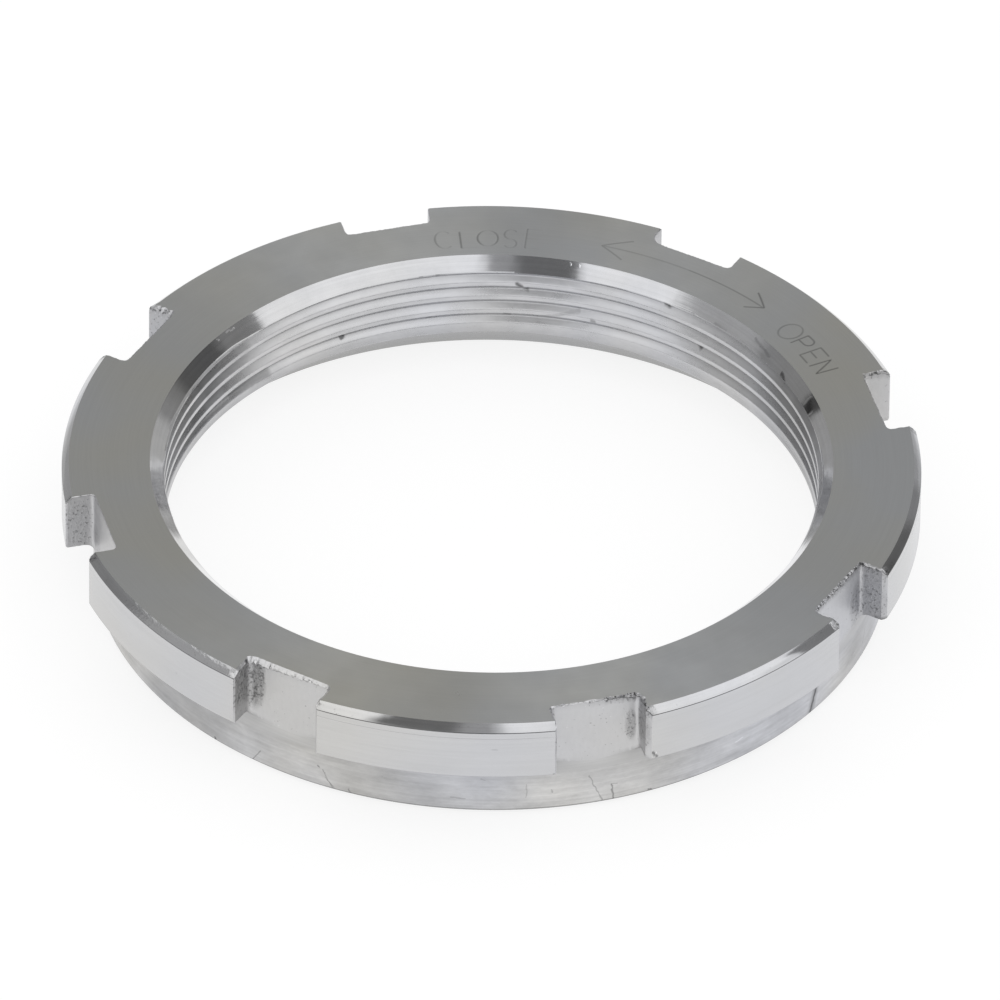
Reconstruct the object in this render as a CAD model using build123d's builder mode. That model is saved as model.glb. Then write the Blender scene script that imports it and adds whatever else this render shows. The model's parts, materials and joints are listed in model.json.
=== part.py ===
from build123d import *
import math
import os

# Lock ring: a turned steel ring with a slotted flange on top of a narrower body, and a threaded bore.
# The frame has +Z along the ring's axis and its origin at the centre of the underside, so the ring
# stands on its flat lower land, flange upwards. A tooth of the flange is centred on +X.
# Sizes are in millimetres. Radial sizes are given from the bore outwards.

# The bore, across the crests of a left-hand M39 x 1 thread. The thread itself isn't cut here.
bore_diameter = 38.05
mouth_chamfer = 0.85  # opens the bore at the top face
flare_width = 2.675  # radial width of the cone that opens the bore at the underside
flare_angle = 45.0  # degrees from the ring's axis

# The body, below the flange
land_width = 1.2  # the flat that the ring stands on, outside the flare
foot_chamfer = 0.25
body_height = 4.05

# The flange, 50 mm across
flange_overhang = 1.85  # how far the flange stands out from the body, all round
flange_height = 3.65
rim_chamfer = 0.4
neck_fillet = 0.8  # left by the turning tool's nose between the body and the flange's lower side

# The spanner slots, milled through the flange almost down to the body
slot_count = 8
slot_width = 5.35
slot_floor_step = 0.05  # what the milling cutter leaves standing on the body at a floor's middle
slot_corner_fillet = 0.3
slot_edge_break = 0.25  # bevel where a slot wall meets the rim
cutter_overrun = 1.0  # how far the cutter runs past the rim

# Radii and heights of the section, from the sizes above
bore_radius = bore_diameter / 2
mouth_radius = bore_radius + mouth_chamfer
flare_radius = bore_radius + flare_width
flare_height = flare_width / math.tan(math.radians(flare_angle))
foot_radius = flare_radius + land_width
body_radius = foot_radius + foot_chamfer
outer_radius = body_radius + flange_overhang
ring_height = body_height + flange_height

# The fillets stay inside the walls that they join
neck_radius = min(neck_fillet, 0.8 * flange_overhang, 0.8 * (body_height - foot_chamfer))
slot_depth = flange_overhang - slot_floor_step
slot_corner_radius = min(slot_corner_fillet, 0.4 * slot_depth, 0.4 * slot_width)

# Milled outline of one slot, seen along the ring's axis and pointing out along +X. Its walls are
# parallel, its floor is flat with small fillets in its corners, and its mouth opens with a bevel.
slot_floor = body_radius + slot_floor_step
slot_side = slot_width / 2
slot_bevel = math.sqrt(outer_radius**2 - slot_side**2) - slot_edge_break
cutter_end = outer_radius + cutter_overrun
cutter_side = slot_side + cutter_end - slot_bevel
half_pitch = 180 / slot_count  # degrees from the middle of a tooth to the middle of a slot

with BuildSketch() as slot_outline:
    with BuildLine():
        Polyline(
            (slot_floor, -slot_side),
            (slot_bevel, -slot_side),
            (cutter_end, -cutter_side),
            (cutter_end, cutter_side),
            (slot_bevel, slot_side),
            (slot_floor, slot_side),
            close=True,
        )
    make_face()
    floor_corners = slot_outline.vertices().group_by(Axis.X)[0]
    fillet(floor_corners, slot_corner_radius)

with BuildPart() as lock_ring:
    # Turned blank: half of its section, right of the axis, going round from the lower land
    with BuildSketch(Plane.XZ) as section:
        with BuildLine():
            Polyline(
                (flare_radius, 0),
                (foot_radius, 0),
                (body_radius, foot_chamfer),
                (body_radius, body_height),
                (outer_radius, body_height),
                (outer_radius, ring_height - rim_chamfer),
                (outer_radius - rim_chamfer, ring_height),
                (mouth_radius, ring_height),
                (bore_radius, ring_height - mouth_chamfer),
                (bore_radius, flare_height),
                close=True,
            )
        make_face()
        neck = section.vertices().sort_by_distance((body_radius, body_height))[0]
        fillet(neck, neck_radius)
    revolve(axis=Axis.Z)

    # Spanner slots: the cutter goes on down past the neck, so that a floor ends on the body
    with BuildSketch(Plane.XY.offset(body_height - neck_radius)):
        with PolarLocations(0, slot_count, start_angle=half_pitch):
            add(slot_outline.sketch)
    extrude(amount=flange_height + neck_radius, mode=Mode.SUBTRACT)

lock_ring.part.label = "lock_ring"

os.makedirs("parts", exist_ok=True)
export_step(lock_ring.part, "parts/lock_ring.step")
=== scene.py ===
import json
import math

import bmesh
import bpy
import numpy as np
from mathutils import Matrix, Vector
from mathutils.geometry import delaunay_2d_cdt


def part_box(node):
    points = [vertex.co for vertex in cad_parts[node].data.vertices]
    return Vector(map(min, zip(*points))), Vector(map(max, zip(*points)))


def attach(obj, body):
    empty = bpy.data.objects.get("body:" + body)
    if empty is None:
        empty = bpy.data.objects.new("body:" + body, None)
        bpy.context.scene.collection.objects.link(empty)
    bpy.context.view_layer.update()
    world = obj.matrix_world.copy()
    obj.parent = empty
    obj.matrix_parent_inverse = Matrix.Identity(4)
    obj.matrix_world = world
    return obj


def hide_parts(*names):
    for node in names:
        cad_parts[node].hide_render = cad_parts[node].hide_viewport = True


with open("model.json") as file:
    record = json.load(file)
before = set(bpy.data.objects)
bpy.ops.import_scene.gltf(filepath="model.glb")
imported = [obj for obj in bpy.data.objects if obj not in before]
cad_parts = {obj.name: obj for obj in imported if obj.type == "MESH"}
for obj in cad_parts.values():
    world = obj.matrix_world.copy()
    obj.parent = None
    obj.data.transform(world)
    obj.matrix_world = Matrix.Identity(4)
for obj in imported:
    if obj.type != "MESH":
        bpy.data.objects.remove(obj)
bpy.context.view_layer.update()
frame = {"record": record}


# The flange's outline, seen from above.
# The ring is turned from steel bar, and its flange is then milled with eight spanner slots. The
# outline runs anticlockwise: round a slot, then along the tooth's rim. Lengths are millimetres.
_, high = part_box("lock_ring")
mounts = {mount["name"]: mount for mount in frame["record"]["mounts"]}
rim_radius = high[0] * 1000
ring_height = high[2] * 1000
flange_overhang = 1.85
flange_height = 3.65
rim_bevel = 0.4
body_radius = rim_radius - flange_overhang
bevel_radius = rim_radius - rim_bevel
flange_underside = ring_height - flange_height

slot_count = 8
slot_width = 5.35
slot_side = slot_width / 2
floor_clearance = 0.005                            # from the body out to a slot's floor
slot_floor = body_radius + floor_clearance
lean_reach = 1.6                                   # how far out from the floor a wall's lean goes
least_wall_gap = 0.02                              # from a wall's first station to its mouth bevel
mouth_stations = 3
wall_stations = 7
corner_steps = 5
floor_steps = 44
tooth_steps = 32
pitch_angle = 2 * math.pi / slot_count

# One value per slot, anticlockwise from the one beside +X: the fillet in the floor's clockwise
# and anticlockwise corner, the bevel filed on the clockwise and anticlockwise mouth edge, and how
# far the clockwise wall leans into the slot at its floor
corner_clockwise = [0.30, 0.30, 0.32, 0.35, 0.30, 0.30, 0.30, 0.30]
corner_anticlockwise = [0.30, 0.75, 0.30, 0.30, 0.30, 0.30, 0.30, 0.22]
mouth_clockwise = [0.16, 0.14, 0.14, 0.14, 0.10, 0.10, 0.14, 0.14]
mouth_anticlockwise = [0.14, 0.32, 0.14, 0.14, 0.14, 0.14, 0.34, 0.28]
lean_clockwise = [0.0, 0.0, 0.30, 0.0, 0.0, 0.0, 0.0, 0.0]


def slot_half(corner, bevel):
    """Half a slot from its mouth to its floor: x (outwards), y (sideways) and the turn of its face.

    A bevel at 45 degrees from the rim to the wall, the wall at constant y, then a quarter circle.
    The bevel spreads until its line meets the rim's circle. The turn is 0 where the face looks
    sideways, and it grows to a quarter turn in the corner, where the face comes to look outwards.
    """
    wall_end = math.sqrt(rim_radius**2 - slot_side**2) - bevel
    reach = wall_end + slot_side
    spread = (math.sqrt(reach**2 - 2 * (wall_end**2 + slot_side**2 - rim_radius**2)) - reach) / 2
    crease = min(math.sqrt(bevel_radius**2 - slot_side**2), wall_end - least_wall_gap)
    quarter = np.linspace(0, math.pi / 2, corner_steps + 1)[1:]
    mouth = wall_end + spread * np.linspace(1, 0, mouth_stations)
    x = np.r_[mouth, np.linspace(crease, slot_floor + corner, wall_stations),
              slot_floor + corner * (1 - np.sin(quarter))]
    y = np.r_[slot_side + mouth - wall_end, np.full(wall_stations, slot_side),
              slot_side - corner * (1 - np.cos(quarter))]
    turn = np.r_[np.zeros(mouth_stations + wall_stations), quarter]
    return x, y, turn


def stations_of(index):
    """One slot and the tooth after it: radius, angle, facing angle, push and sideways place.

    The push says which way a station moves as the surface runs inwards under its tooth: -1 on
    the slot's clockwise side, 0 on its floor, 1 on the other side, and from 1 to -1 on the tooth.
    In a corner its size is 1 less the cube of the sine of the face's turn.
    """
    following = (index + 1) % slot_count
    x1, y1, turn1 = slot_half(corner_clockwise[index], mouth_clockwise[index])
    x2, y2, turn2 = slot_half(corner_anticlockwise[index], mouth_anticlockwise[index])
    x3, y3, _ = slot_half(corner_clockwise[following], mouth_clockwise[following])
    level = np.zeros(floor_steps - 1)
    floor_y = np.linspace(-y1[-1], y2[-1], floor_steps + 1)[1:-1]
    x = np.r_[x1, level + slot_floor, x2[::-1]]
    y = np.r_[-y1, floor_y, y2[::-1]]
    lean = lean_clockwise[index] * np.clip(1 - (x - slot_floor) / lean_reach, 0, 1)
    y = np.where(y < 0, y + lean * (y / y.min()), y)
    facing = np.r_[math.pi / 2 - turn1, level, turn2[::-1] - math.pi / 2]
    push = np.r_[np.sin(turn1) ** 3 - 1, level, 1 - np.sin(turn2[::-1]) ** 3]
    share = np.linspace(0, 1, tooth_steps + 1)[1:-1]
    start, stop = math.atan2(y2[0], x2[0]), pitch_angle - math.atan2(y3[0], x3[0])
    tooth = start + (stop - start) * share
    middle = (index + 0.5) * pitch_angle
    return np.stack([
        np.r_[np.hypot(x, y), np.full(tooth_steps - 1, rim_radius)],
        middle + np.r_[np.arctan2(y, x), tooth],
        middle + np.r_[facing, tooth],
        np.r_[push, 1 - 2 * share],
        np.r_[y, np.zeros(tooth_steps - 1)],
    ])


outline = np.stack([stations_of(index) for index in range(slot_count)], axis=1)
out_radius, out_angle, out_facing, out_push, slot_y = outline
last_in_slot = out_radius.shape[1] - tooth_steps
in_slot = np.arange(out_radius.shape[1]) <= last_in_slot


# The edges of the slots.
# The cutter pushed a ragged burr over the slots' top edges, and most of it was knocked off, which
# left a narrow broken facet. It is widest on two slots, and beaded or torn on the others.
rng = np.random.default_rng(39)
# One value per slot: the facet's width, then as shares of it how much the width varies and how
# far the surface wobbles, and last how torn it is
facet_base = np.array([0.06, 0.06, 0.05, 0.07, 0.03, 0.23, 0.08, 0.11])[:, None]
facet_rag = np.array([0.5, 0.4, 0.4, 0.5, 0.4, 0.06, 0.7, 0.5])[:, None]
facet_wobble = np.array([0.25, 0.2, 0.2, 0.25, 0.2, 0.03, 0.4, 0.28])[:, None]
edge_torn = np.array([0.8, 0.4, 0.3, 0.8, 0.3, 0.12, 1.0, 1.0])[:, None]
at_wall = 0.97                                     # as a share of the slot's half width
along = slot_y / slot_side
facet_width = facet_base * np.ones_like(along)
# Four facets aren't even: 5 narrows and 6 widens anticlockwise, and 5, 3 and 0 change at one wall
facet_width[5] *= (1.0 - 0.35 * along[5]) * np.where(along[5] < -0.99, 0.5, 1)
facet_width[6] *= 1.0 + 0.9 * np.clip(along[6], 0, 1)
facet_width[3] *= 1.0 + 2.2 * (along[3] < -at_wall)
facet_width[0] *= 1.0 + 1.5 * (along[0] > at_wall)
facet_width *= 1 + facet_rag * rng.uniform(-1, 1, facet_width.shape)
facet_width[:, ~in_slot] = 0

# The top face's edge lies back from a slot's walls by the facet's width, and from the rim by the
# bevel's. Round the mouths it keeps the place that it has where the walls begin
top_x = out_radius * np.cos(out_angle) - facet_width * np.cos(out_facing)
top_y = out_radius * np.sin(out_angle) - facet_width * np.sin(out_facing)
last_on_wall = last_in_slot - mouth_stations
for top in (top_x, top_y):
    top[:, :mouth_stations] = top[:, [mouth_stations]]
    top[:, last_on_wall + 1:last_in_slot + 1] = top[:, [last_on_wall]]
top_radius, top_angle = np.hypot(top_x, top_y), np.arctan2(top_y, top_x)
start = top_angle[:, last_in_slot]
reach = (np.roll(top_angle[:, 0], -1) - start) % (2 * math.pi)
share = np.linspace(0, 1, tooth_steps + 1)[1:-1]
top_angle[:, ~in_slot] = start[:, None] + reach[:, None] * share
top_radius[:, ~in_slot] = bevel_radius
top_angle = out_angle + (top_angle - out_angle + math.pi) % (2 * math.pi) - math.pi

# A facet drops 0.6 to 1.1 times its width, and the rim's bevel drops as far as it is wide
facet_drop = facet_width * rng.uniform(0.6, 1.1, facet_width.shape)
edge_height = ring_height - np.maximum(facet_drop, np.clip(out_radius - bevel_radius, 0, None))


# The ring's outside, from the top face's edge down to the foot.
# One turning: a bevelled rim with a fine tool step under the bevel, the flange's underside, a
# cove into the neck, and the plain body down to its foot chamfer.
neck_fillet = 0.8
foot_chamfer = 0.25
foot_radius = body_radius - foot_chamfer
lower_bevel = 0.07                                 # at the rim's lower edge
bevel_crown = 0.009                                # how far the rim's bevel bulges
swerve = math.radians(1.27)                        # the turn aside for each millimetre inwards
touching = 0.01                                    # surfaces closer than this are one
edge_zone = 0.1                                    # how far down the torn edge and the tool step go
darkened_zone = 0.07                                  # how far down the torn edge is darker
facet_steps = 3
side_steps = 12


def neck_height(radius):
    """Height of the neck's cove at a radius: a quarter circle that ends in the flange's underside."""
    depth = np.clip(body_radius + neck_fillet - radius, 0, neck_fillet)
    return flange_underside - neck_fillet + np.sqrt(neck_fillet**2 - depth**2)


def inward(radius):
    """The outline shrunk to a radius: stations outside it move in, and aside under their teeth."""
    limit = np.minimum(out_radius, radius)
    return limit, out_angle + swerve * out_push * (out_radius - limit)


# Where the cutter tore the slots' floors and walls: the slot, the place across it and how far the
# tear reaches, its depth below the top face and reach, and how bad it is. Walls lie at -1 and 1.
tears = (
    (5, -0.88, 0.34, 0.20, 0.70, 1.0), (5, -1.0, 0.05, 0.5, 0.9, 0.3), (6, -0.96, 0.1, 0.35, 0.55, 0.8),
    (6, 0.80, 0.14, 0.45, 0.35, 0.8), (6, 1.02, 0.05, 0.30, 0.6, 0.9), (7, 1.02, 0.05, 0.5, 1.2, 0.6),
    (7, 0.85, 0.35, 0.60, 0.50, 0.7), (4, -1.02, 0.05, 0.55, 0.75, 0.6), (4, -0.72, 0.3, 0.7, 0.3, 0.4),
    (3, -1.02, 0.05, 0.2, 0.7, 0.6), (3, -0.8, 0.3, 0.1, 0.4, 0.6), (0, 1.02, 0.05, 0.3, 0.8, 0.15),
)


def torn_at(depth):
    """How torn a row is at a depth share of the slot's side: the strongest of the tears there.

    A tear is a hump, 1 less the squares of the distances across and down as shares of its reach,
    taken twice over, cut off at 0 and 1, and times its strength.
    """
    torn = np.zeros_like(along)
    for slot, place, reach, level, spread, strength in tears:
        hump = 1 - ((along[slot] - place) / reach) ** 2 - ((depth - level) / spread) ** 2
        torn[slot] = np.maximum(torn[slot], strength * np.clip(2 * hump, 0, 1))
    return torn * in_slot


rows = []                                          # (radius, angle, height, dirt and painted shade, torn, finish)
low_edge = neck_height(out_radius)
on_rim = out_radius > rim_radius - touching

# The facets and the rim's bevel. Slot 5 has two dark nicks, and slot 0 a dark edge on one wall
facet_grime = np.zeros_like(along)
facet_grime[5, 9:11] = 1
facet_grime[0] = 0.5 * (along[0] > at_wall)
facet_torn = in_slot * edge_torn
facet_torn[6] *= np.clip(0.5 + along[6], 0.2, 1)
rim_worn = on_rim * np.array([0, 0, 0, 0, 0.15, 0, 0, 0.05])[:, None]
facet_torn = np.maximum(facet_torn, rim_worn)
for step in np.linspace(0, 1, facet_steps + 1):
    hump = math.sin(step * math.pi)
    rag = facet_width * facet_wobble * rng.uniform(-1, 1, facet_width.shape)
    wobble = rag * hump + bevel_crown * hump * on_rim
    height = ring_height + (edge_height - ring_height) * step + wobble
    rows.append((top_radius + (out_radius - top_radius) * step + wobble,
                 top_angle + (out_angle - top_angle) * step,
                 np.minimum(height, ring_height), facet_grime * (step > 0), facet_torn,
                 "bevel" if step < 1 else "side"))

# The torn edges are darker just under them, unevenly. Round the teeth run the tool step, 0.04 mm deep,
# and a far finer line under it, both with painted shade in them. Each row has its depth under the
# edge, its cut inwards, and how much painted shade is in the cut
edge_darkening = np.array([0.9, 0.3, 0.3, 0.4, 0.4, 0.55, 0.95, 0.9])[:, None]
edge_darkening = edge_darkening * (rng.random(along.shape) > 0.45)
edge_darkening[6] *= np.clip(0.35 + along[6], 0.15, 1)
edge_darkening[5] *= np.clip(1 - 0.6 * along[5], 0.4, 1)
edge_darkening *= in_slot
second_line = on_rim * np.array([0.3, 0.3, 0.3, 0.3, 0.3, 1.0, 0.3, 0.3])[:, None]
for depth, cut, painted_shade in ((0.02, 0.04, 1.0), (0.06, 0.04, 1.0), (0.085, 0, 0.0), (0.44, 0, 0.0),
                         (0.455, 0.008, 0.25), (0.47, 0.008, 0.25), (0.485, 0, 0.0)):
    by_edge = depth < edge_zone
    line = on_rim if by_edge else second_line
    rows.append((out_radius - cut * line, out_angle, edge_height - depth,
                 painted_shade * line + edge_darkening * (depth < darkened_zone),
                 np.maximum(torn_at(0), facet_torn * by_edge * in_slot), "side"))

# The slots' and the teeth's sides. Slot 7's anticlockwise wall is darker in uneven spots along its foot
side_top, side_foot = rows[-1][2], low_edge + lower_bevel * on_rim
foot_darkening = rng.uniform(0.2, 1.0, along.shape) * (along > at_wall) * in_slot
foot_darkening[:7] = 0
for step in np.linspace(0, 1, side_steps + 1)[1:]:
    rows.append((out_radius, out_angle, side_top + (side_foot - side_top) * step,
                 foot_darkening * (step == 1), torn_at(step), "side"))

# The flange's underside and the cove, with painted shade under the teeth, then the body, with painted
# shade just under the flange, and its foot chamfer, painted dark as shade by the table
neck_painted_shade = 0.25 * np.clip((out_radius - body_radius) / 0.12, 0, 1)
neck_radii = (24.5, 24.15, 23.95, 23.75, 23.55, 23.4, 23.3, 23.22, 23.17)
for radius in (rim_radius - lower_bevel, *neck_radii, body_radius):
    reached, angle = inward(radius)
    rows.append((reached, angle, neck_height(reached), neck_painted_shade, 0.0, "neck"))
body_angle = rows[-1][1]
for height, painted_shade in ((2.7, 0.14), (2.1, 0.04), (1.5, 0.0), (0.9, 0.0), (foot_chamfer + 0.05, 0.0),
                     (foot_chamfer, 0.9)):
    rows.append((body_radius, body_angle, height, painted_shade, 0.0, "body"))
for height, painted_shade in ((0.03, 0.75), (0.0, 0.0)):
    rows.append((foot_radius + height, body_angle, height, painted_shade, 0.0, "foot"))

radius, angle, height, outside_dirt_and_shade, outside_torn = (
    np.stack([np.broadcast_to(row[k], out_radius.shape).ravel() for row in rows]) for k in range(5))
outside = np.stack([radius * np.cos(angle), radius * np.sin(angle), height], axis=-1)
outside_finish = [row[5] for row in rows[:-1]]


# The bore, from the flat land on the underside up to the mouth.
# A 45 degree flare, a left-hand thread of 1 mm pitch with flat crests and open flanks, and a 45
# degree chamfer at the mouth. The thread's rows follow its helix, and it runs out above the flare.
crest_radius = mounts["thread"]["dims"]["r_mm"]
flare_radius = 21.7                                # where the flare meets the land
mouth_radius = 19.875                              # where the chamfer meets the top face
pitch = 1.0
groove_depth = 0.315
crest_flat = 0.137                                 # half the crest's width, as a share of the pitch
flank_slope = 0.9
rounding = 0.045
run_out = (2.9, 3.45)                              # heights over which the groove runs out
thread_start = math.radians(97.2)                  # the side farthest from the camera
crest_height = ring_height - 1.52                  # of one crest at that angle
lip_early, lip_steepness = 0.13, 3                 # where the mouth chamfer leaves a lip
lip_angle, lip_reach = 163, 12                     # in degrees
root_aside, root_spread = 0.04, 0.09               # of the painted shade in the root, as shares of the pitch
low_shade_top, low_shade_fade = 3.4, 1.3             # heights of the painted shade on the lowest turns
helix_low, helix_high = 2.05, ring_height - 0.22   # heights between which the rows follow the helix
turns = np.arange(-7, 4)                           # of the thread, below and above that crest
bore_stations = 300
# The rows' places in one turn, from the middle of the crest: closest at its corners and the root
phases = np.array([0, 0.046, 0.092, 0.115, 0.137, 0.16, 0.183, 0.25, 0.32, 0.385, 0.443, 0.462, 0.481, 0.5,
                   0.519, 0.538, 0.557, 0.615, 0.68, 0.75, 0.817, 0.84, 0.863, 0.885, 0.908, 0.954])


def rounded(value, reach):
    """0 for a value under -reach, the value itself over reach, and a parabola from one to the other."""
    return np.where(value < reach, np.clip(value + reach, 0, None) ** 2 / (4 * reach), value)


def phase_at(angle, height):
    """How many turns of the thread a place lies above a crest: 0, 1, 2 and so on are crests."""
    return (height - crest_height) / pitch + (angle - thread_start) / (2 * math.pi)


def threaded(height):
    """How much of the groove's depth there is at a height: none under the run-out, all above it."""
    return np.clip((height - run_out[0]) / (run_out[1] - run_out[0]), 0, 1)


def thread_radius(angle, height):
    """Radius of the bore: the widest of the flare, the mouth chamfer and the thread's groove.

    The groove's depth is its flank's slope times the distance from the crest's flat, up to the
    full depth at the root, and its corners are rounded. Round the lip's angle the mouth chamfer
    ends early, in a steeper ramp, and leaves a narrow lip of the first crest.
    """
    flank = flank_slope * (np.abs((phase_at(angle, height) + 0.5) % 1 - 0.5) - crest_flat) * pitch
    depth = groove_depth - rounded(groove_depth - rounded(flank, rounding), rounding)
    groove = crest_radius + depth * threaded(height)
    lip = lip_early * np.clip(2 - np.abs(np.degrees(angle) - lip_angle) / lip_reach, 0, 1)
    over = mouth_radius - ring_height + height - crest_radius
    chamfer = crest_radius + np.minimum(over, lip_steepness * over - (lip_steepness - 1) * lip)
    return np.maximum(np.maximum(groove, flare_radius - height), chamfer)


turn_round = thread_start + np.linspace(-math.pi, math.pi, bore_stations + 1)
level = (turns[:, None] + phases).ravel() * pitch + crest_height
helix_height = level[:, None] - (turn_round - thread_start) / (2 * math.pi) * pitch
helix_height = np.clip(helix_height, helix_low, helix_high)
used = (helix_height.max(axis=1) > helix_low) & (helix_height.min(axis=1) < helix_high)
flare = np.linspace(0, helix_low, 5)[:, None] + 0 * turn_round
mouth = np.linspace(helix_high, ring_height, 4)[:, None] + 0 * turn_round
bore_height = np.concatenate([flare, helix_height[used], mouth])
bore_angle = np.broadcast_to(turn_round, bore_height.shape)
bore_radius = thread_radius(bore_angle, bore_height)
bore = np.stack([bore_radius * np.cos(bore_angle), bore_radius * np.sin(bore_angle), bore_height], axis=-1)
cone = np.maximum(flare_radius - bore_height, mouth_radius - ring_height + bore_height)
on_cone = np.abs(bore_radius - cone) < touching

# Painted shade lies in the thread's root, a little to one side, and on its lowest turns, where they mirror
# the table in the ring's shadow
from_root = phase_at(bore_angle, bore_height) % 1 - 0.5
root_painted_shade = 0.2 * threaded(bore_height) * np.exp(-((from_root + root_aside) / root_spread) ** 2)
low_painted_shade = 0.5 * np.clip((low_shade_top - bore_height) / low_shade_fade, 0, 1)
bore_painted_shade = ~on_cone * np.maximum(root_painted_shade, low_painted_shade)


# The marks scribed on the top face.
# A double-headed arrow with the words for both directions shows which way the ring turns. The
# lines are shallow V grooves 0.18 mm wide, cut with a needle along the letters.
scribe_half = 0.09
scribe_depth = 0.013
scribe_spacing = 0.14                              # between the points on a line
least_spacing = 0.02
letter_middle = 0.9                                # height at which a letter keeps its width
level_from = 0.6                                   # share of a groove's half width, see groove_at


def arc(cx, cy, rx, ry, start, stop, count):
    """So many points on an ellipse about (cx, cy), from one angle to another, in degrees."""
    turn = np.radians(np.linspace(start, stop, count))
    return np.stack([cx + rx * np.cos(turn), cy + ry * np.sin(turn)], axis=1)


def letter(name, w, h):
    """A single-line letter as strokes, w wide and h high, with its left foot at the origin."""
    if name == "O":
        return [arc(w / 2, h / 2, w / 2, h / 2, 0, 360, 33)]
    if name == "C":
        return [arc(w / 2, h / 2, w / 2, h / 2, 50, 310, 25)]
    if name == "S":
        upper = arc(w / 2, 0.74 * h, w / 2, 0.26 * h, 35, 270, 16)
        return [np.concatenate([upper, arc(w / 2, 0.24 * h, w / 2, 0.24 * h, 90, -145, 16)[1:]])]
    if name == "P":
        bowl = arc(w - 0.28 * h, 0.72 * h, 0.28 * h, 0.28 * h, 90, -90, 13)
        return [np.array([[0, 0], [0, h]]), np.concatenate([[[0, h]], bowl, [[0, 0.44 * h]]])]
    if name == "N":
        return [np.array([[0, 0], [0, h], [w, 0], [w, h]], float)]
    if name == "L":
        return [np.array([[0, h], [0, 0], [w, 0]], float)]
    # The only other letter is E
    return [np.array([[w, h], [0, h], [0, 0], [w, 0]], float),
            np.array([[0, h / 2], [0.8 * w, h / 2]])]


def fine(stroke, spacing):
    """The stroke with points added on its straights, so that it bends with the ring."""
    length = np.r_[0, np.cumsum(np.hypot(*np.diff(stroke, axis=0).T))]
    even = np.linspace(0, length[-1], max(2, int(length[-1] / spacing) + 1))
    even = np.unique(np.r_[even, length])
    even = even[np.r_[True, np.diff(even) > least_spacing]]
    return np.stack([np.interp(even, length, stroke[:, k]) for k in (0, 1)], axis=1)


def bend(stroke, angle, baseline):
    """Wraps a flat stroke round the ring: x runs clockwise from the angle, y outwards."""
    radius = baseline + stroke[:, 1]
    turn = math.radians(angle) - stroke[:, 0] / (baseline + letter_middle)
    return np.stack([radius * np.cos(turn), radius * np.sin(turn)], axis=1)


lettering = (                      # letter, angle, baseline, width, height, tone and how worn it is
    ("O", 45.2, 20.8, 1.30, 1.55, 0.55, 0.3), ("P", 41.1, 21.0, 0.86, 1.22, 0.75, 0.1),
    ("E", 37.6, 20.8, 0.90, 1.43, 0.7, 0.1), ("N", 34.3, 20.8, 0.86, 1.42, 0.8, 0.0),
    ("C", 106.6, 20.6, 1.07, 1.65, 0.45, 0.85), ("L", 102.6, 20.57, 0.90, 1.53, 0.6, 0.9),
    ("O", 99.9, 20.7, 1.22, 1.5, 0.65, 0.88), ("S", 95.7, 20.57, 0.75, 1.75, 0.45, 0.8),
    ("E", 92.25, 20.64, 0.85, 1.8, 0.5, 0.9),
)
arrow_radius = 21.82
arrow_start, arrow_end = 80.35, 50.65              # angles in degrees
shaft = np.radians(arrow_start - arrow_end) * (arrow_radius + letter_middle)
arrow = (                          # points, tone and spacing of the shaft's two halves and the heads
    ([[0, 0], [shaft / 2, 0]], 0.32, 0.2),
    ([[shaft / 2, 0], [shaft, 0]], 0.5, 0.2),
    ([[1.65, 1.0], [0, 0], [1.6, -0.9]], 0.45, scribe_spacing),
    ([[shaft - 1.28, 0.8], [shaft, 0.03], [shaft - 0.95, -0.75]], 0.75, scribe_spacing),
)
strokes, stroke_tones = [], []


def scribe(stroke, angle, baseline, tone, worn=0.0, spacing=scribe_spacing):
    """Adds a stroke; the parts of it that run round the ring, with the turning marks, are fainter."""
    stroke = fine(stroke, spacing)
    step = np.diff(stroke, axis=0)
    strokes.append(bend(stroke, angle, baseline))
    stroke_tones.append(tone * (1 - worn * step[:, 0] ** 2 / (step**2).sum(axis=1)))


for name, angle, baseline, width, height, tone, worn in lettering:
    for stroke in letter(name, width, height):
        scribe(stroke, angle, baseline, tone, worn)
for stroke, tone, spacing in arrow:
    scribe(np.array(stroke), arrow_start, arrow_radius, tone, spacing=spacing)


def ribbon(stroke):
    """The stroke's own line, and the loop round it at half a groove's width."""
    along = np.gradient(stroke, axis=0)
    along /= np.hypot(*along.T)[:, None]
    across = np.stack([-along[:, 1], along[:, 0]], axis=1) * scribe_half
    before = stroke[:1] - along[:1] * scribe_half
    after = stroke[-1:] + along[-1:] * scribe_half
    return stroke, np.concatenate([before, stroke + across, after, (stroke - across)[::-1], before])


def groove_at(points):
    """Depth share of the scribed lines at flat points: 1 less the gap to the line, times its tone.

    The gap is a share of the groove's half width. Points with a wide gap are on a groove's sides
    and stay level, in a bend as well.
    """
    depth = np.zeros(len(points))
    for stroke, tone in zip(strokes, stroke_tones):
        a, b = stroke[:-1], stroke[1:]
        reach = b - a
        share = np.einsum("psk,sk->ps", points[:, None] - a, reach) / (reach**2).sum(axis=1)
        nearest = a + np.clip(share, 0, 1)[..., None] * reach
        gap = np.hypot(*(points[:, None] - nearest).transpose(2, 0, 1))
        here = np.where(gap < level_from * scribe_half, 1 - gap / scribe_half, 0)
        depth = np.maximum(depth, (here * tone).max(axis=1))
    return depth


def inside(points, loop):
    """Which flat points lie in a closed loop, by counting the crossings of a ray along x."""
    a, b = loop, np.roll(loop, -1, axis=0)
    spans = (a[:, 1] > points[:, 1:]) != (b[:, 1] > points[:, 1:])
    with np.errstate(divide="ignore", invalid="ignore"):
        cross = a[:, 0] + (points[:, 1:] - a[:, 1]) * (b[:, 0] - a[:, 0]) / (b[:, 1] - a[:, 1])
    return (spans & (points[:, :1] < cross)).sum(axis=1) % 2 == 1


least_edge = 1e-4                                  # shorter ones are left out of a face's loops
merge_gap = 1e-5                                   # points closer than this become one


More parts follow.
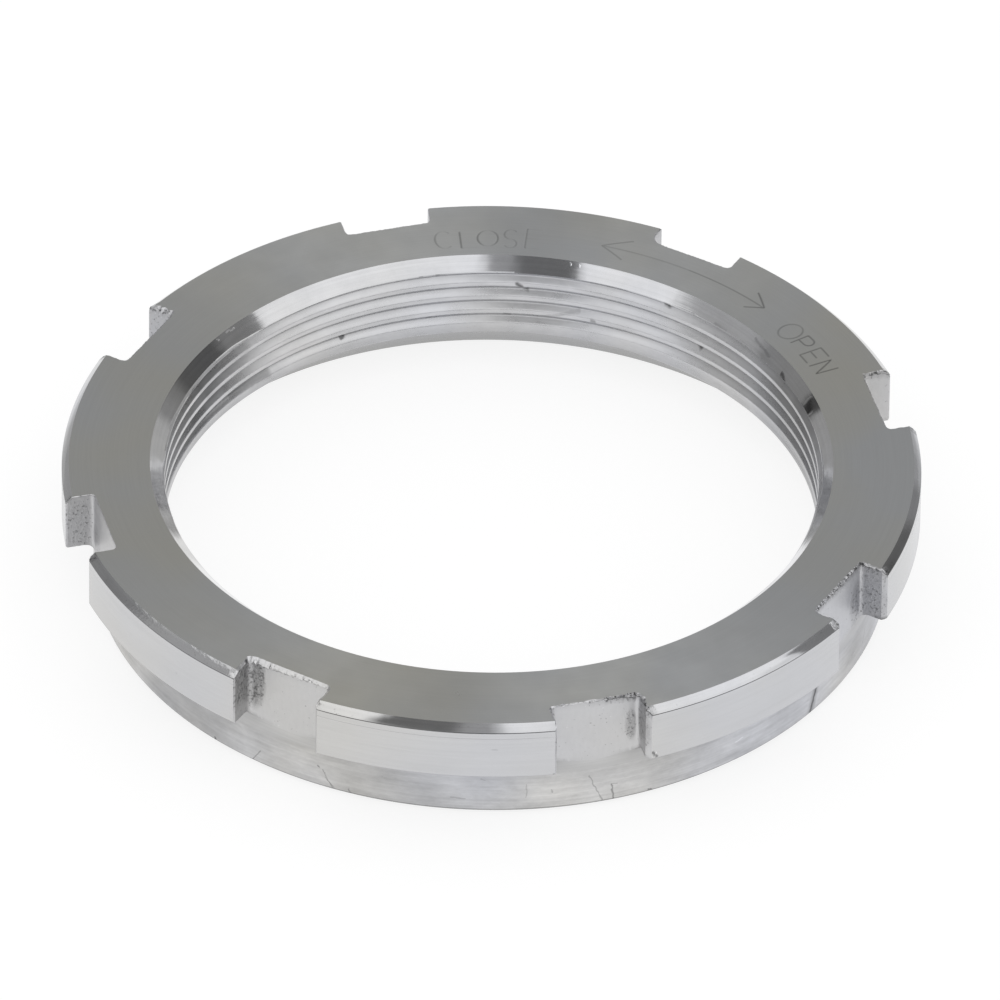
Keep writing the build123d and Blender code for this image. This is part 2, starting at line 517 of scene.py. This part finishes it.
def flat_face(outer, inner, height, up, lines=()):
    """A flat ring between two loops that faces up or down, with its scribed lines sunk into it.

    It is the triangles of a Delaunay mesh of the loops and lines that lie between the loops.
    """
    loops = []
    for loop in (outer, inner):
        keep = np.hypot(*(loop - np.roll(loop, 1, axis=0)).T) > least_edge
        loops.append(loop[keep])
    chains = [np.concatenate([loop, loop[:1]]) for loop in loops] + list(lines)
    points, edges, count = [], [], 0
    for chain in chains:
        points.append(chain)
        edges.append(np.stack([np.arange(len(chain) - 1), np.arange(1, len(chain))], axis=1) + count)
        count += len(chain)
    points, edges = np.concatenate(points), np.concatenate(edges)
    made = delaunay_2d_cdt([Vector(p) for p in points], edges.tolist(), [], 0, merge_gap)
    flat, faces = np.array([tuple(v) for v in made[0]]), np.array([f for f in made[2] if len(f) == 3])
    middle = flat[faces].mean(axis=1)
    faces = faces[inside(middle, loops[0]) & ~inside(middle, loops[1])]
    a, b, c = flat[faces].transpose(1, 0, 2)
    turned = (b - a)[:, 0] * (c - a)[:, 1] - (b - a)[:, 1] * (c - a)[:, 0]
    faces[(turned < 0) == up] = faces[(turned < 0) == up][:, ::-1]
    depth = groove_at(flat) if lines else np.zeros(len(flat))
    return np.column_stack([flat, height - scribe_depth * depth]), faces, depth


lines = [line for stroke in strokes for line in ribbon(stroke)]
top_loops = outside[0, :, :2], bore[-1, :-1, :2]
land_loops = outside[-1, :, :2], bore[0, :-1, :2]
top_points, top_faces, top_scribed = flat_face(*top_loops, ring_height, True, lines)
land_points, land_faces, _ = flat_face(*land_loops, 0.0, False)


# The lock ring itself.
# One piece of plain turned steel, put together from its faced top, its outside, its bore and its
# bottom land. Each face keeps its own finish: faced, bevelled, turned, milled or threaded.
finishes = ["faced", "bevel", "side", "milled", "neck", "body", "foot", "flare", "thread", "mouth",
            "land", "burr"]
merge_distance = 2e-7                              # in metres
sharp_angle = math.radians(28)
points, faces, finish, dirt_and_shade, torn, scribed = ([] for _ in range(6))


def grid_faces(rows, columns, closed):
    """Quads between the neighbouring rows of a grid, which faces outwards as it runs down."""
    across = np.arange(columns if closed else columns - 1)
    down = np.arange(rows - 1)[:, None]
    right = (across + 1) % columns
    return np.stack([down * columns + across, (down + 1) * columns + across,
                     (down + 1) * columns + right, down * columns + right], axis=-1).reshape(-1, 4)


def add_surface(new_points, new_faces, new_finish, new_dirt_and_shade=0, new_torn=0, new_scribed=0):
    """Adds a surface to the ring: points, faces, a finish for each face, and values for each point."""
    faces.extend((new_faces + sum(map(len, points))).tolist())
    points.append(new_points.reshape(-1, 3))
    finish.append(np.broadcast_to(new_finish, len(new_faces)))
    for layer, values in ((dirt_and_shade, new_dirt_and_shade), (torn, new_torn), (scribed, new_scribed)):
        layer.append(np.broadcast_to(values, len(points[-1])))


# A face has the finish of the row above it. In the slots it is burred or milled instead
slot_face = np.tile(in_slot, slot_count)
slot_face &= np.roll(slot_face, -1)
strip = np.array([finishes.index(name) for name in outside_finish])[:, None] + 0 * slot_face
strip[:facet_steps] = np.where(slot_face, finishes.index("burr"), strip[:facet_steps])
strip = np.where((strip == finishes.index("side")) & slot_face, finishes.index("milled"), strip)
outside_faces = grid_faces(*outside.shape[:2], True)
add_surface(outside, outside_faces, strip.ravel(), outside_dirt_and_shade.ravel(), outside_torn.ravel())

cone_face = on_cone[:-1, :-1] & on_cone[1:, 1:]
upper = bore_height[:-1, :-1] > ring_height / 2
cone_finish = np.where(upper, finishes.index("mouth"), finishes.index("flare"))
bore_finish = np.where(cone_face, cone_finish, finishes.index("thread"))
add_surface(bore, grid_faces(*bore.shape[:2], False), bore_finish.ravel(), bore_painted_shade.ravel())
add_surface(top_points, top_faces, finishes.index("faced"), new_scribed=top_scribed)
add_surface(land_points, land_faces, finishes.index("land"))

mesh = bpy.data.meshes.new("turned_ring")
mesh.from_pydata((np.concatenate(points) / 1000).tolist(), [], faces)
mesh.polygons.foreach_set("material_index", np.concatenate(finish).astype(np.int32))
for name, values in (("dirt_and_shade", dirt_and_shade), ("torn", torn), ("scribed", scribed)):
    layer = mesh.attributes.new(name, "FLOAT", "POINT")
    layer.data.foreach_set("value", np.concatenate(values).astype(np.float32))
work = bmesh.new()
work.from_mesh(mesh)
bmesh.ops.remove_doubles(work, verts=work.verts, dist=merge_distance)
open_edges = sum(1 for edge in work.edges if len(edge.link_faces) != 2)
flat_ends = {finishes.index("faced"), finishes.index("land")}
for edge in work.edges:
    kinds = {face.material_index for face in edge.link_faces}
    edge.smooth = not (len(kinds) > 1 and kinds & flat_ends)
print("ring", len(work.verts), "points,", sum(len(f.verts) - 2 for f in work.faces), "triangles,",
      open_edges, "open edges, volume", round(work.calc_volume(signed=True) * 1e9, 1), "mm3")
work.to_mesh(mesh)
work.free()

# Edges are sharp round the two flat ends and where the surface turns by more than the sharp angle
round_ends, angled = np.zeros(len(mesh.edges), bool), np.zeros(len(mesh.edges), bool)
mesh.attributes["sharp_edge"].data.foreach_get("value", round_ends)
mesh.set_sharp_from_angle(angle=sharp_angle)
mesh.attributes["sharp_edge"].data.foreach_get("value", angled)
mesh.attributes["sharp_edge"].data.foreach_set("value", round_ends | angled)
face_finish = np.zeros(len(mesh.polygons), np.int32)
mesh.polygons.foreach_get("material_index", face_finish)
mesh.polygons.foreach_set("use_smooth", ~np.isin(face_finish, list(flat_ends)))
ring = bpy.data.objects.new("turned_ring", mesh)
bpy.context.scene.collection.objects.link(ring)


# The steel's finishes.
# Bare steel all over. The tools show: rings on the faced top, fine lines round the turned sides,
# a rough torn grain in the milled slots, and dirt in the scratches. Painted shade darkens the
# thread's root, its lowest turns, the flange's underside and the foot.
dirt_shade_and_line_darkness = 0.72
stain_scale, cloud_scale, dent_scale = 75, 380, 420    # waves of each noise in a metre
fray_scale, speck_scale = 2600, 5200
torn_depth, mark_depth = 6e-5, 6e-6                # in metres
mark_core = 0.25                                   # the share of a mark's half width that is darkest
mark_fray = 0.12                                   # how far a mark's edge strays, in millimetres
stretches = {"round": (0.15, 0.15, 8), "milled": (1.3, 1.3, 0.5), "plain": (1, 1, 1)}
ring_stretch = (0.12, 0.12, 8.0)                   # for x, y and the radius
stain_leans = (-0.5, 0.0, 1.5)                     # how a stain shifts the red, green and blue


def node_tools(tree):
    """Five ways to add to a node tree.

    add makes a node, and plug links a socket or sets a number. feed makes a node with values in
    its first inputs and gives its first output, and join does so for a math node. ramp maps a
    value's range onto another, and holds the value at that one's ends.
    """
    def add(kind, **settings):
        node = tree.nodes.new(kind)
        for key, value in settings.items():
            setattr(node, key, value)
        return node

    def plug(value, socket):
        if isinstance(value, bpy.types.NodeSocket):
            tree.links.new(value, socket)
        else:
            socket.default_value = value

    def feed(kind, *values, **settings):
        node = add(kind, **settings)
        for value, socket in zip(values, node.inputs):
            plug(value, socket)
        return node.outputs[0]

    def join(operation, *values):
        return feed("ShaderNodeMath", *values, operation=operation)

    def ramp(value, start, stop, low=0, high=1, curve="LINEAR"):
        return feed("ShaderNodeMapRange", value, start, stop, low, high, interpolation_type=curve)

    return add, plug, feed, join, ramp


def unrolled(angle, level):
    """A place on the ring's side unrolled flat, in millimetres, with the seam at 180 degrees."""
    return np.array([math.radians((angle + 180) % 360 - 180) * body_radius, level])


def steel(name, tone, roughness, coordinates, grain, depth, patches=0.06, spots=0.0, spread=0.05,
          tint=0.02, dents=0.0, brushed=0.0, marks=()):
    """Bare metal whose grain is a noise stretched along the tool's path.

    The coordinates give the noise its space: "round" is stretched round the ring for a turned
    side, "rings" follows the radius on a flat face, "milled" runs up and down a slot, and "plain"
    is even in all directions. The grain is the noise's scale, and depth its height in metres.
    Patches, spread and tint are how much slow clouds, the grain and stains change the colour.
    Spots are dark and bright specks, with more of them where the "torn" attribute is high. Dents
    are slow waves of the surface, and brushed draws reflections out across the turning marks.
    Marks are scratches, nicks and patches, each a segment (angle, height, angle, height, half width,
    darkness) on the ring's side, brighter where the darkness is negative. Broad patches among them
    paint shade and reflections, some of them over dirt, and small bright marks are painted glints.
    None crosses 180 degrees.
    """
    material = bpy.data.materials.new(name)
    material.use_nodes = True
    add, plug, feed, join, ramp = node_tools(material.node_tree)
    shader = material.node_tree.nodes["Principled BSDF"]
    shader.inputs["Metallic"].default_value = 1

    def noise(space, scale, detail, rough=0.55):
        node = add("ShaderNodeTexNoise")
        for key, value in (("Vector", space), ("Scale", scale), ("Detail", detail), ("Roughness", rough)):
            plug(value, node.inputs[key])
        return node.outputs["Fac"]

    def vector(operation, *values):
        node = add("ShaderNodeVectorMath", operation=operation)
        sockets = [node.inputs[0], node.inputs["Scale"]] if operation == "SCALE" else node.inputs
        for value, socket in zip(values, sockets):
            plug(value, socket)
        return node.outputs[1 if operation in ("DOT_PRODUCT", "LENGTH") else 0]

    def attribute(key):
        return add("ShaderNodeAttribute", attribute_name=key).outputs["Fac"]

    place = add("ShaderNodeTexCoord").outputs["Object"]
    parts = add("ShaderNodeSeparateXYZ")
    plug(place, parts.inputs[0])
    x, y, z = parts.outputs
    if coordinates == "rings":
        radius = join("SQRT", join("ADD", join("MULTIPLY", x, x), join("MULTIPLY", y, y)))
        stretched = (join("MULTIPLY", value, scale) for value, scale in zip((x, y, radius), ring_stretch))
        grain_space = feed("ShaderNodeCombineXYZ", *stretched)
    else:
        grain_space = vector("MULTIPLY", place, stretches[coordinates])
    cloud_space = vector("MULTIPLY", place, (0.7, 0.7, 1.8)) if coordinates == "round" else place
    streaks = noise(grain_space, grain, 3)
    cloud = noise(cloud_space, cloud_scale, 6, 0.72)
    height = join("MULTIPLY", streaks, depth)
    shade = join("MULTIPLY", ramp(cloud, 0.3, 0.7, 1 - patches, 1 + patches),
                 ramp(streaks, 0.3, 0.7, 1 - spread, 1 + spread))

    # Dark and bright specks, which come closer together where the steel is torn
    if spots:
        speck, torn = noise(place, speck_scale, 3, 0.6), attribute("torn")
        dark_speck = ramp(join("MULTIPLY_ADD", torn, 0.15, speck), 0.66, 0.76)
        bright_speck = ramp(join("MULTIPLY_ADD", torn, -0.10, speck), 0.30, 0.22)
        shade = join("MULTIPLY", shade, join("SUBTRACT", 1.0, join("MULTIPLY", dark_speck, spots)))
        shade = join("MULTIPLY", shade, join("MULTIPLY_ADD", bright_speck, 0.25, 1.0))
        shade = join("MULTIPLY", shade, join("MULTIPLY_ADD", torn, -0.25, 1.0))
        height = join("MULTIPLY_ADD", join("MULTIPLY", torn, speck), torn_depth, height)

    # Marks, painted shade and painted light, by the distance from each one's segment on the side unrolled
    # flat
    fray = join("MULTIPLY_ADD", noise(place, fray_scale, 2), 2 * mark_fray, -mark_fray)
    flat = feed("ShaderNodeCombineXYZ", join("MULTIPLY_ADD", join("ARCTAN2", y, x), body_radius, fray),
                join("MULTIPLY_ADD", z, 1000.0, fray))
    for angle, level, angle2, level2, half, dark in marks:
        start = unrolled(angle, level)
        reach = unrolled(angle2, level2) - start
        away = vector("SUBTRACT", flat, (*start, 0))
        share = join("MULTIPLY", vector("DOT_PRODUCT", away, (*(reach / (reach @ reach)), 0)), 1.0)
        share.node.use_clamp = True
        gap = vector("LENGTH", vector("SUBTRACT", away, vector("SCALE", (*reach, 0), share)))
        cut = ramp(gap, half, half * mark_core)
        shade = join("MULTIPLY", shade, join("MULTIPLY_ADD", cut, -dark, 1.0))
        height = join("MULTIPLY_ADD", cut, -mark_depth * abs(dark), height)

    # Darker with the dirt and painted shade held in the point attribute, and along the scribed lines
    for key in ("dirt_and_shade", "scribed"):
        shade = join("MULTIPLY", shade, ramp(attribute(key), 0, 1, 1, 1 - dirt_shade_and_line_darkness))
    stain = ramp(noise(place, stain_scale, 2), 0.35, 0.65, -tint, tint)
    colours = (join("MULTIPLY", join("MULTIPLY_ADD", stain, lean, 1.0), join("MULTIPLY", shade, part))
               for part, lean in zip(tone, stain_leans))
    plug(feed("ShaderNodeCombineColor", *colours), shader.inputs["Base Color"])
    plug(ramp(cloud, 0.25, 0.75, roughness * 0.85, roughness * 1.2), shader.inputs["Roughness"])
    if brushed:
        shader.inputs["Anisotropic"].default_value = brushed
        shader.inputs["Anisotropic Rotation"].default_value = 0.25
        round_axis = feed("ShaderNodeTangent", direction_type="RADIAL", axis="Z")
        plug(round_axis, shader.inputs["Tangent"])
    bump = add("ShaderNodeBump")
    bump.inputs["Strength"].default_value = 1
    bump.inputs["Distance"].default_value = 1
    plug(join("MULTIPLY_ADD", noise(cloud_space, dent_scale, 2), dents, height), bump.inputs["Height"])
    plug(bump.outputs[0], shader.inputs["Normal"])
    return material


bright = (0.60, 0.60, 0.605)
# Scratches on the body, a painted glint at 316 degrees, broad patches of dirt with painted shade and a
# painted reflection, and two painted shadows at the foot of slot 6's floor
body_marks_and_painted_light = (
    (291.8, 2.2, 293.8, 0.25, 0.06, 0.35), (295.1, 1.3, 295.5, 0.15, 0.07, 0.5),
    (295.1, 1.35, 296.0, 1.3, 0.05, 0.3), (332.8, 2.4, 330.6, 0.25, 0.12, 0.6),
    (331.9, 1.55, 331.0, 0.4, 0.05, 0.4), (300.8, 0.35, 301.3, 0.3, 0.07, 0.6),
    (316.6, 1.6, 315.3, 1.5, 0.04, -0.3), (252.1, 1.6, 252.4, 1.5, 0.05, 0.5),
    (252.9, 1.4, 254.6, 0.15, 0.05, 0.4), (253.3, 0.9, 255.0, 0.2, 0.04, 0.4),
    (257.0, 0.5, 257.4, 0.25, 0.06, 0.4), (282.7, 2.0, 282.7, 1.1, 0.05, 0.25),
    (272.0, 1.05, 274.0, 1.0, 0.08, 0.25), (276.3, 2.5, 276.8, 2.35, 0.05, 0.25),
    (234.2, 0.4, 234.4, 0.2, 0.08, 0.7), (242.6, 1.1, 241.3, 0.25, 0.05, 0.4),
    (347.5, 1.9, 346.5, 1.0, 0.05, 0.3), (286.3, 1.5, 286.5, 1.3, 0.05, 0.3),
    (222, 1.3, 234, 1.2, 2.4, 0.24), (259, 1.2, 268, 1.2, 1.7, 0.1), (285, 1.2, 297, 1.3, 1.9, -0.1),
    (343, 1.6, 349, 1.6, 1.8, 0.16), (332.2, 2.0, 330.8, 0.2, 0.4, 0.35),
    (289.2, 2.95, 290.5, 3.0, 0.25, 0.18), (293.4, 3.0, 296.2, 3.15, 0.3, 0.25),
)
# Nicks on the rim's side; the bright mark beside the chip near 299.8 degrees is a painted glint
side_nicks_and_painted_glint = (
    (299.5, 4.55, 299.95, 4.2, 0.15, 0.6), (299.75, 4.2, 299.95, 4.5, 0.07, -0.5),
    (286.0, 4.15, 286.1, 4.1, 0.08, 0.6), (277.8, 6.1, 278.4, 6.05, 0.05, 0.2),
    (231.0, 5.4, 231.1, 5.35, 0.06, 0.2),
)
# Dark specks and a long dark streak in the thread, and broad patches of painted shade at 22 to 33 and 141
# to 160 degrees
thread_marks_and_painted_shade = (
    (124.3, 3.6, 125.0, 3.55, 0.13, 0.7), (108.3, 3.85, 109.0, 3.8, 0.18, 0.5),
    (93.0, 6.2, 92.3, 6.05, 0.2, 0.7), (91.8, 5.75, 91.2, 5.65, 0.15, 0.45),
    (95.3, 3.9, 94.3, 3.85, 0.18, 0.5), (79.6, 4.2, 79.0, 4.15, 0.18, 0.4),
    (58.4, 4.9, 58.0, 4.8, 0.2, 0.7), (65.6, 6.85, 64.8, 6.8, 0.22, 0.7),
    (90.0, 3.8, 82.0, 4.6, 0.16, 0.2), (110.4, 6.95, 109.9, 6.95, 0.12, 0.4),
    (107.4, 6.9, 107.0, 6.9, 0.12, 0.4), (22, 5.0, 33, 5.0, 5.0, 0.2), (147, 6.0, 160, 6.2, 0.9, 0.15),
    (141, 3.4, 150, 3.6, 0.45, 0.35), (152, 4.6, 158, 4.9, 0.5, 0.2),
)
# Dark nicks on the mouth chamfer, painted glints as bright dots, and broad painted reflections that
# brighten it
mouth_marks_and_painted_light = (
    (36.4, 7.15, 34.6, 7.0, 0.12, 0.65), (26.5, 7.35, 24.5, 7.2, 0.30, 0.5),
    (46.0, 7.5, 41.0, 7.3, 0.08, 0.25), (55.0, 7.1, 52.0, 7.0, 0.12, 0.2),
    (48.5, 7.0, 45.0, 6.95, 0.14, 0.25), (84.2, 7.6, 84.0, 7.55, 0.08, -0.4),
    (82.6, 7.55, 82.3, 7.5, 0.08, -0.4), (149.5, 7.6, 147.5, 7.6, 0.05, -0.5),
    (152.0, 7.6, 151.6, 7.6, 0.05, -0.5), (173, 7.2, 179, 7.2, 3.0, -0.3),
    (181, 7.2, 205, 7.2, 3.0, -0.35), (219, 7.2, 226, 7.2, 2.0, -0.3), (338, 7.2, 347, 7.2, 2.2, -0.4),
)
# A broad darker patch on the rim's bevel
bevel_dark_patch = ((346, 7.5, 361, 7.5, 1.6, 0.33),)
looks = {
    "faced": steel("faced_steel", (0.565, 0.567, 0.548), 0.316, "rings", 1300, 6e-7, 0.02, spread=0.02,
                   tint=0.035, brushed=0.93),
    "bevel": steel("bevelled_steel", bright, 0.08, "rings", 900, 1e-6, 0.05, 0.4, dents=8e-6,
                   marks=bevel_dark_patch),
    "side": steel("turned_rim_steel", bright, 0.20, "round", 900, 8e-7, 0.025, spread=0.02,
                  marks=side_nicks_and_painted_glint),
    "milled": steel("milled_slot_steel", (0.62, 0.62, 0.63), 0.46, "milled", 3200, 4e-6, 0.05, 0.5, 0.02),
    "neck": steel("neck_steel", (0.57, 0.57, 0.575), 0.34, "round", 900, 2e-6),
    "body": steel("turned_body_steel", (0.55, 0.55, 0.558), 0.30, "round", 700, 2e-6, 0.20, 0, 0.07, 0.03,
                  2e-5, marks=body_marks_and_painted_light),
    "foot": steel("foot_chamfer_steel", (0.5, 0.5, 0.5), 0.3, "round", 900, 2e-6),
    "flare": steel("flare_steel", bright, 0.25, "round", 900, 2e-6),
    "thread": steel("thread_steel", (0.595, 0.595, 0.603), 0.28, "round", 900, 1.2e-6, 0.12, 0, 0.03,
                    dents=1e-5, marks=thread_marks_and_painted_shade),
    "mouth": steel("mouth_chamfer_steel", bright, 0.08, "rings", 900, 2.6e-6, dents=1.2e-5,
                   marks=mouth_marks_and_painted_light),
    "land": steel("land_steel", (0.56, 0.56, 0.555), 0.28, "rings", 1300, 1e-6),
    "burr": steel("burred_edge_steel", (0.68, 0.68, 0.69), 0.30, "plain", 5000, 4e-6, 0.06, 0.75, 0.03),
}
for name in finishes:
    mesh.materials.append(looks[name])
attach(ring, "root")
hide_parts("lock_ring")


# The floor.
# A plain white table top, larger than the view. It is matt, and it also glows as a light table
# does, so that it is white to the camera and the ring's shadow on it stays soft.
floor_half = 4
floor_level = -2e-5
floor_glow = 0.81
glow_fall, glow_hold = -40.0, 2.2
far_glow, near_glow = 0.40, 0.96
band_middle, band_core, band_edge, band_glow = 0.0214, 0.0012, 0.0017, 0.55
floor_mesh = bpy.data.meshes.new("table_top")
corners = ((-1, -1), (1, -1), (1, 1), (-1, 1))
corners = [(floor_half * x, floor_half * y, floor_level) for x, y in corners]
floor_mesh.from_pydata(corners, [], [(0, 1, 2, 3)])
floor = bpy.data.objects.new("table_top", floor_mesh)
bpy.context.scene.collection.objects.link(floor)
paper = bpy.data.materials.new("white_table")
paper.use_nodes = True
paper.node_tree.nodes.clear()
add, plug, feed, join, ramp = node_tools(paper.node_tree)
rays = add("ShaderNodeLightPath").outputs
far = add("ShaderNodeVectorMath", operation="LENGTH")
plug(add("ShaderNodeTexCoord").outputs["Object"], far.inputs[0])
from_middle = far.outputs["Value"]
# In the steel its glow is 0.96 of full out to 55 mm from the ring's middle, and then falls towards
# 0.40, by a factor of e every 25 mm. The band of it that lies under the flare is darker: a painted
# shadow of the ring, seen only in the steel
fall = join("EXPONENT", join("MULTIPLY_ADD", from_middle, glow_fall, glow_hold))
mirrored = join("MULTIPLY_ADD", join("MINIMUM", fall, 1.0), near_glow - far_glow, far_glow)
from_band = join("ABSOLUTE", join("SUBTRACT", from_middle, band_middle))
band_painted_shadow = ramp(from_band, band_core, band_edge, band_glow, 1.0)
mirrored = join("MULTIPLY", mirrored, join("MULTIPLY", rays["Is Glossy Ray"], band_painted_shadow))
seen = join("MAXIMUM", join("MAXIMUM", rays["Is Camera Ray"], mirrored), rays["Is Transmission Ray"])
matt = feed("ShaderNodeBsdfDiffuse", (0.25, 0.25, 0.25, 1))
glow = feed("ShaderNodeEmission", (1, 1, 1, 1), join("MULTIPLY", seen, floor_glow))
# From below the table is see-through, so that the ring's underside can be looked at
from_below = add("ShaderNodeNewGeometry").outputs["Backfacing"]
clear = add("ShaderNodeBsdfTransparent").outputs[0]
one_way = feed("ShaderNodeMixShader", from_below, feed("ShaderNodeAddShader", matt, glow), clear)
plug(one_way, add("ShaderNodeOutputMaterial").inputs["Surface"])
floor_mesh.materials.append(paper)


# The studio.
# A white sky with soft grey gaps where the studio's walls, a boom and the camera stand, so that
# the bare steel has something to reflect. The gaps show only in reflections.
view_azimuth = 7.215
white = (1, 1, 1, 1)
sky = bpy.data.worlds.new("studio_sky")
bpy.context.scene.world = sky
sky.use_nodes = True
sky.node_tree.nodes.clear()
add, plug, feed, join, ramp = node_tools(sky.node_tree)
turned = add("ShaderNodeMapping", vector_type="POINT")
turned.inputs["Rotation"].default_value = (0, 0, -math.radians(view_azimuth))
plug(add("ShaderNodeTexCoord").outputs["Generated"], turned.inputs["Vector"])
parts = add("ShaderNodeSeparateXYZ")
plug(turned.outputs[0], parts.inputs[0])
sky_x, sky_y, sky_z = parts.outputs
# Azimuth runs from the camera's side, 0, towards its right, +90, and elevation up from the table
azimuth = join("DEGREES", join("ARCTAN2", sky_x, join("MULTIPLY", sky_y, -1.0)))
elevation = join("DEGREES", join("ARCSINE", sky_z))


def panel(level, value, centre, half_width, bottom, top, soft):
    """Mixes the sky's level towards a value in a window of azimuth and elevation with soft edges."""
    aside = join("ABSOLUTE", join("WRAP", join("SUBTRACT", azimuth, centre), 180.0, -180.0))
    edges = ((aside, half_width, -soft), (elevation, bottom, soft), (elevation, top, -soft))
    across, above, below = (
        ramp(place, edge - fade / 2, edge + fade / 2, curve="SMOOTHSTEP") for place, edge, fade in edges)
    share = join("MULTIPLY", across, join("MULTIPLY", above, below))
    return join("MULTIPLY_ADD", share, join("SUBTRACT", value, level), level)


level = 1.0
for window in (                    # value, middle, half width, bottom, top and softness of the edges
        (0.42, 180, 62, -10, 62, 16),            # the wall behind the ring
        (0.27, 95, 7.8, -10, 37, 1.5),           # the studio's dark right side
        (0.12, 112, 10.5, -10, 33, 3),
        (0.24, 124, 5.5, -10, 24, 5),
        (0.50, -84, 15, -10, 41, 3),             # and its left side
        (0.30, -110, 12, -10, 34, 6),
        (0.07, -123, 2.5, -10, 26, 2),
        (1.16, 43, 44, 33, 75, 2),               # the right soft box
        (1.16, -50, 18, 39, 75, 2),              # the left soft box
        (0.42, -5, 8.5, 42, 62, 7),              # the camera and its stand
        (0.19, -21, 12.5, 42, 62, 6)):
    level = panel(level, *window)
# A dark boom overhead, from the wall behind to the camera, between the soft boxes
boom_left, boom_edge, boom_core, boom_level = 0.08, 0.13, 0.05, 0.3
boom = ramp(join("ABSOLUTE", join("ADD", sky_x, boom_left)), boom_edge, boom_core, curve="SMOOTHSTEP")
overhead = ramp(elevation, 60, 66)
level = join("MULTIPLY_ADD", join("MULTIPLY", boom, overhead), join("SUBTRACT", boom_level, level), level)
rays = add("ShaderNodeLightPath").outputs
plain, gapped, shown = (feed("ShaderNodeBackground", white, strength) for strength in (0.85, level, 1.0))
mirrored = join("MAXIMUM", rays["Is Glossy Ray"], rays["Is Transmission Ray"])
lighting = feed("ShaderNodeMixShader", mirrored, plain, gapped)
plug(feed("ShaderNodeMixShader", rays["Is Camera Ray"], lighting, shown),
     add("ShaderNodeOutputWorld").inputs["Surface"])
bpy.context.scene.view_settings.view_transform = "Standard"


# The camera.
# A long lens from the front, a little to the right, that looks down at the ring. Its distance and
# shifts are in outer radii of the ring.
view_elevation, roll = math.radians(37.780), math.radians(0.673)
distance, shift_right, shift_up = 60.0, -0.01947, 0.0899
forward = Vector((0, math.cos(view_elevation), -math.sin(view_elevation)))
level_right = Vector((1, 0, 0))
level_up = Vector((0, math.sin(view_elevation), math.cos(view_elevation)))
right = math.cos(roll) * level_right + math.sin(roll) * level_up
upright = math.cos(roll) * level_up - math.sin(roll) * level_right
place = (-distance * forward - shift_right * right - shift_up * upright) * rim_radius / 1000
axes = Matrix((right, upright, -forward)).transposed().to_4x4()
round_ring = Matrix.Rotation(math.radians(view_azimuth), 4, "Z")
lens = bpy.data.cameras.new("camera")
lens.lens = 928.66
lens.sensor_width = 36
lens.clip_start = 0.1
lens.clip_end = 100
camera = bpy.data.objects.new("camera", lens)
camera.matrix_world = Matrix.Translation((0, 0, ring_height / 1000)) @ round_ring @ (
    Matrix.Translation(place) @ axes)
bpy.context.scene.collection.objects.link(camera)
bpy.context.scene.camera = camera
